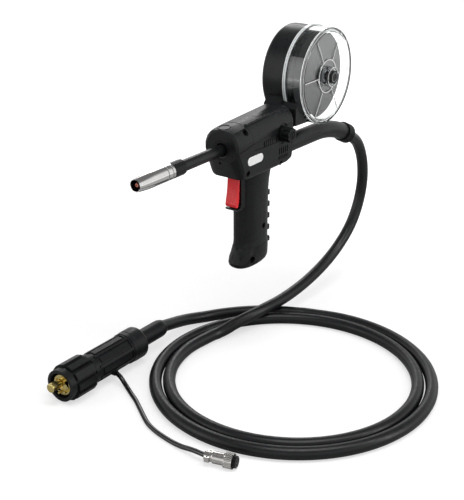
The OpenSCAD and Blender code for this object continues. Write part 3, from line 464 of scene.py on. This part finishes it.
def spun(name, profile, centre, body, slot, crease=30, steps=128, turn=0):
    """A closed ring: a profile of (radius, y) in millimetres turned round the y axis, and
    the ring then turned by an angle in degrees about z."""
    work = bmesh.new()
    verts = [work.verts.new((r * MM, y * MM, 0)) for r, y in profile]
    edges = [work.edges.new((a, b)) for a, b in zip(verts, verts[1:] + verts[:1])]
    bmesh.ops.spin(work, geom=verts + edges, cent=(0, 0, 0), axis=(0, 1, 0),
                   angle=2 * math.pi, steps=steps, use_merge=True)
    bmesh.ops.remove_doubles(work, verts=work.verts, dist=DRAWN_WELD)
    bmesh.ops.recalc_face_normals(work, faces=work.faces)
    bmesh.ops.rotate(work, verts=work.verts, cent=(0, 0, 0),
                     matrix=Matrix.Rotation(math.radians(turn), 3, "Z"))
    bmesh.ops.translate(work, verts=work.verts, vec=centre)
    mesh = bpy.data.meshes.new(name)
    work.to_mesh(mesh)
    work.free()
    shade(mesh, crease)
    return add_piece(name, mesh, body, slot)


def band(inner, outer, low, high):
    """Profile of a plain ring."""
    return [(inner, low), (outer, low), (outer, high), (inner, high)]


# The cover's moulded edges carry pale bands: painted highlights for the light those edges catch
INSIDE_LIP = (COVER_R + 0.3, LIP_R - 0.005)
COVER_EDGE_HIGHLIGHTS = {
    # piece: its profile
    "cover_lip_edge": band(*INSIDE_LIP, 3.05, 4.4),
    "cover_step_edge": band(*INSIDE_LIP, 5.2, 6.35),
    "cover_rim_edge": band(COVER_R - 3.9, COVER_R - 3.4, COVER_FACE - 0.1, COVER_FACE + 0.1),
    "cover_ring_edge": band(19.3, 20.3, COVER_FACE + 0.7, COVER_FACE + 0.86),
    "cover_hub_edge": band(11.1, 11.8, HUB_END - 0.1, HUB_END + 0.06),
}
for name, profile in COVER_EDGE_HIGHLIGHTS.items():
    spun(name, profile, SPOOL_CENTRE, "spool_cover", "clear_cover")
RIBS, RIB_SIZE, RIB_MIDDLE = 6, Vector((31.2, 0.12, 0.9)), Vector((35.8, COVER_FACE + 0.72, 0))
rib_work = bmesh.new()
for i in range(RIBS):
    bar = bmesh.ops.create_cube(rib_work, size=1)["verts"]
    bmesh.ops.scale(rib_work, verts=bar, vec=RIB_SIZE * MM)
    bmesh.ops.translate(rib_work, verts=bar, vec=RIB_MIDDLE * MM)
    bmesh.ops.rotate(rib_work, verts=bar, cent=(0, 0, 0),
                     matrix=Matrix.Rotation(math.radians(360 / RIBS * i), 3, "Y"))
bmesh.ops.translate(rib_work, verts=rib_work.verts, vec=SPOOL_CENTRE)
rib_mesh = bpy.data.meshes.new("cover_rib_edges")
rib_work.to_mesh(rib_mesh)
rib_work.free()
add_piece("cover_rib_edges", rib_mesh, "spool_cover", "clear_cover")
# The bands and rib bars get the white of the painted highlight
for name in (*COVER_EDGE_HIGHLIGHTS, "cover_rib_edges"):
    bpy.data.objects[name].data.materials[0] = PAINTED_EDGE_HIGHLIGHT
spun("hub_cap_ring", band(4.9, 5.8, HUB_END + 1.5, HUB_END + 2.2), SPOOL_CENTRE, "hub_cap",
     "steel")

# ---------- nozzle ----------

NOZZLE_R, NOZZLE_BORE, NOZZLE_LENGTH = 8.75, 6.25, 56.6
BARREL_Z = 97
NOZZLE_START = Vector((151, 0, BARREL_Z)) * MM
BARREL_START = Vector((0, 0, BARREL_Z)) * MM
TAPER_FROM, TAPER_LENGTH, TAPER_STEPS, TAPER_POWER = 33, NOZZLE_LENGTH - 33.3, 16, 1.9
# The outlines here are (radius, distance along the barrel)
nozzle_outline = [
    (7.55, 0), (NOZZLE_R - 0.3, 0), (NOZZLE_R, 0.3), (NOZZLE_R, 3), (NOZZLE_R - 0.6, 3.3),
    (NOZZLE_R - 0.6, 4.2), (NOZZLE_R, 4.5), (NOZZLE_R, 10.2), (NOZZLE_R - 0.5, 10.5),
    (NOZZLE_R - 0.5, 11.5), (NOZZLE_R, 11.8), (NOZZLE_R, TAPER_FROM)]
for i in range(1, TAPER_STEPS + 1):
    nozzle_outline.append((
        NOZZLE_R - (NOZZLE_R - NOZZLE_BORE - 0.8) * (i / TAPER_STEPS) ** TAPER_POWER,
        TAPER_FROM + TAPER_LENGTH * i / TAPER_STEPS))
nozzle_outline += [
    (NOZZLE_BORE + 0.5, NOZZLE_LENGTH), (NOZZLE_BORE, NOZZLE_LENGTH - 0.3),
    (NOZZLE_BORE, NOZZLE_LENGTH - 12), (7.3, NOZZLE_LENGTH - 20), (7.3, 8), (7.55, 8)]
plated = spun("nozzle_plated", nozzle_outline, NOZZLE_START, "nozzle", "chrome",
              crease=25, turn=-90)
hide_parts("nozzle")
# A bush closes the nose's recess, with a fine gap round the barrel
bush_outline = [
    (7.6, 54), (10.75, 54), (10.75, 59.6), (10.5, 59.85), (8.2, 59.85), (7.8, 59.7), (7.6, 59.3)]
spun("nose_bush", bush_outline, BARREL_START, "gun", "black_nylon", crease=40, turn=-90)
# The nozzle's two turned grooves are lined with dark rings: painted shade
for name, start, end in (("nozzle_groove_rear", 3.3, 4.2), ("nozzle_groove_front", 10.5, 11.5)):
    spun(name, band(NOZZLE_R - 0.9, NOZZLE_R - 0.35, start, end), NOZZLE_START,
         "nozzle", "black_steel", turn=-90)

# ---------- springs and wire ----------

SPRING_SIDES, SPRING_STEPS_PER_TURN = 10, 20


def coiled(name, node, start, axis, ring_r, wire_d, stretches, slot):
    """A spring of round wire that stands for a CAD node. It starts at a point and runs
    along an axis; stretches are (turns, rise of each turn) in order."""
    work = bmesh.new()
    made = bmesh.ops.create_circle(
        work, cap_ends=False, segments=SPRING_SIDES, radius=wire_d / 2 * MM)
    axis = Vector(axis)
    out = axis.orthogonal().normalized()
    upright = Matrix((out, axis, out.cross(axis))).transposed()
    bmesh.ops.rotate(work, verts=work.verts, cent=(0, 0, 0), matrix=upright)
    bmesh.ops.translate(work, verts=work.verts, vec=out * ring_r * MM)
    geometry = made["verts"] + list(work.edges)
    for turns, rise in stretches:
        steps = round(turns * SPRING_STEPS_PER_TURN)
        spun_on = bmesh.ops.spin(
            work, geom=geometry, cent=(0, 0, 0), axis=axis, angle=2 * math.pi * turns,
            steps=steps, dvec=axis * rise * turns / steps * MM)
        geometry = spun_on["geom_last"]
    bmesh.ops.remove_doubles(work, verts=work.verts, dist=DRAWN_WELD)
    bmesh.ops.holes_fill(work, edges=[e for e in work.edges if e.is_boundary], sides=0)
    bmesh.ops.recalc_face_normals(work, faces=work.faces)
    bmesh.ops.translate(work, verts=work.verts, vec=Vector(start) * MM)
    mesh = bpy.data.meshes.new(name)
    work.to_mesh(mesh)
    work.free()
    shade(mesh, 50)
    piece = add_piece(name, mesh, body_of_node[node], slot)
    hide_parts(node)
    return piece


trigger_coil = coiled("trigger_coil", "trigger_spring", (25.6, 0, 47.6), (1, 0, 0), 2, 0.6,
                      [(0.75, 0.62), (2.5, 1.068), (0.75, 0.62)], "steel")
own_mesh(trigger_coil)
pressure_coil = coiled("pressure_coil", "pressure_spring", (-30, 13.85, 98.5), (0, 1, 0), 3.2,
                       0.9, [(0.5, 0.92), (2, 1.04)], "steel")
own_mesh(pressure_coil)
coiled("brake_coil", "brake_spring", (-118, 23.9, 150), (0, 1, 0), 7.2, 1.1,
       [(0.5, 1.15), (2, 2), (0.5, 1.15)], "steel")

CORE_R, VALLEY_R, CREST_R = 25.1, 49.4 - 1.6, 49.4 - 1.2
WINDINGS, WINDING_START, WIRE_D = 31, 19, 0.9
winding_outline = [(CORE_R, 30.2), (CORE_R, 0.8)]
for i in range(WINDINGS):
    winding_outline += [(VALLEY_R, 0.15 + i), (CREST_R, 0.6 + i)]
winding_outline.append((VALLEY_R, 30.9))
wound = spun("wound_layers", [(r, y - WINDING_START) for r, y in winding_outline],
             SPOOL_CENTRE, "spool", "copper", crease=80, steps=96)
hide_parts("wound_wire")
feed_route = in_metres([(-120.4, 0, 99.6), (-51.5, 0, BARREL_Z), (200, 0, BARREL_Z)])
feed = cord_tube("fed_wire", feed_route, WIRE_D * MM, WIRE_SIDES, "copper")
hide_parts("welding_wire")

# ---------- floor and light ----------

LIGHT_ON_THINGS, WALL_SEEN, CEILING_SEEN = 0.42, 1.0, 0.2
FLOOR_R, FLOOR_GAP = 8, 0.2 * MM    # the floor lies this far under the hose


def sees_studio(tree):
    """1 for what the camera, mirrors and clear plastic see, 0 for the light on things."""
    ray = add(tree, "ShaderNodeLightPath").outputs
    seen = add(tree, "ShaderNodeMath", {
        0: ray["Is Camera Ray"], 1: ray["Is Glossy Ray"]}, operation="MAXIMUM").outputs[0]
    return add(tree, "ShaderNodeMath", {
        0: seen, 1: ray["Is Transmission Ray"]}, operation="MAXIMUM").outputs[0]


# The walls of the studio are white; its ceiling is unlit, apart from the soft lamps
world = bpy.data.worlds.new("studio")
bpy.context.scene.world = world
world.use_nodes = True
sky = world.node_tree
back = sky.nodes["Background"]
height = add(sky, "ShaderNodeSeparateXYZ", {
    0: add(sky, "ShaderNodeTexCoord").outputs["Generated"]}).outputs["Z"]
ceiling = spread(sky, height, 0, 1, 0.43, 0.66)
back.inputs["Color"].default_value = linear("#ffffff")
wall = add(sky, "ShaderNodeMapRange", {
    "Value": sees_studio(sky), "To Min": LIGHT_ON_THINGS, "To Max": WALL_SEEN}).outputs[0]
roof = add(sky, "ShaderNodeMapRange", {
    "Value": sees_studio(sky), "To Min": LIGHT_ON_THINGS, "To Max": CEILING_SEEN}).outputs[0]
level = add(sky, "ShaderNodeMix", {0: ceiling, 2: wall, 3: roof}, data_type="FLOAT")
sky.links.new(level.outputs[0], back.inputs["Strength"])

floor_mesh = bpy.data.meshes.new("floor")
floor_work = bmesh.new()
bmesh.ops.create_circle(floor_work, cap_ends=True, segments=96, radius=FLOOR_R)
bmesh.ops.translate(floor_work, verts=floor_work.verts, vec=(0, 0, FLOOR_Z - FLOOR_GAP))
floor_work.to_mesh(floor_mesh)
floor_work.free()
floor = bpy.data.objects.new("floor", floor_mesh)
bpy.context.scene.collection.objects.link(floor)
floor_material, floor_tree, floor_shader, floor_place = start_material("white_sweep")
floor_shader.inputs["Base Color"].default_value = linear("#b0b0b0")
floor_shader.inputs["Roughness"].default_value = 0.9
floor_shader.inputs["Specular IOR Level"].default_value = 0.1
floor_shader.inputs["Emission Color"].default_value = linear("#ffffff")
# The sweep glows more towards its rim, so that it runs into the white walls. What glossy
# surfaces mirror of it is brighter than what the camera sees: it sets the greys of the blacks
far = add(floor_tree, "ShaderNodeVectorMath", {0: floor_place}, operation="LENGTH")
rim = spread(floor_tree, far.outputs["Value"], 0.6, 1.0, 0.3, 0.7)
mirrored_rim = spread(floor_tree, far.outputs["Value"], 0.0, 0.9, 1.1, 1.8)
floor_ray = add(floor_tree, "ShaderNodeLightPath").outputs
direct = add(floor_tree, "ShaderNodeMath", {
    0: floor_ray["Is Camera Ray"], 1: floor_ray["Is Transmission Ray"]},
    operation="MAXIMUM").outputs[0]
mirrored = add(floor_tree, "ShaderNodeMath", {
    0: floor_ray["Is Glossy Ray"], 1: mirrored_rim}, operation="MULTIPLY").outputs[0]
glow = add(floor_tree, "ShaderNodeMath", {0: direct, 1: rim, 2: mirrored},
           operation="MULTIPLY_ADD")
floor_tree.links.new(glow.outputs[0], floor_shader.inputs["Emission Strength"])
floor_mesh.materials.append(floor_material)


def softbox(name, place, aim, size, power):
    """A soft light at a place, aimed at a point, size wide and high."""
    lamp = bpy.data.lights.new(name, "AREA")
    lamp.shape = "RECTANGLE"
    lamp.size, lamp.size_y = size
    lamp.energy = power
    thing = bpy.data.objects.new(name, lamp)
    bpy.context.scene.collection.objects.link(thing)
    thing.location = Vector(place)
    thing.rotation_euler = (Vector(aim) - Vector(place)).to_track_quat("-Z", "Y").to_euler()


softbox("key", (0.3, 0.5, 1.9), (0, 0, 0), (1.4, 1.0), 22)
softbox("left", (-0.55, 1.75, 1.0), (0, 0, 0.02), (0.3, 2.3), 16)
softbox("right", (1.7, -1.2, 0.7), (0, 0, 0.05), (0.9, 2.2), 7)
softbox("behind", (-1.7, -1.3, 1.2), (0, 0, 0.05), (0.7, 0.7), 5)

bpy.context.scene.view_settings.view_transform = "Standard"
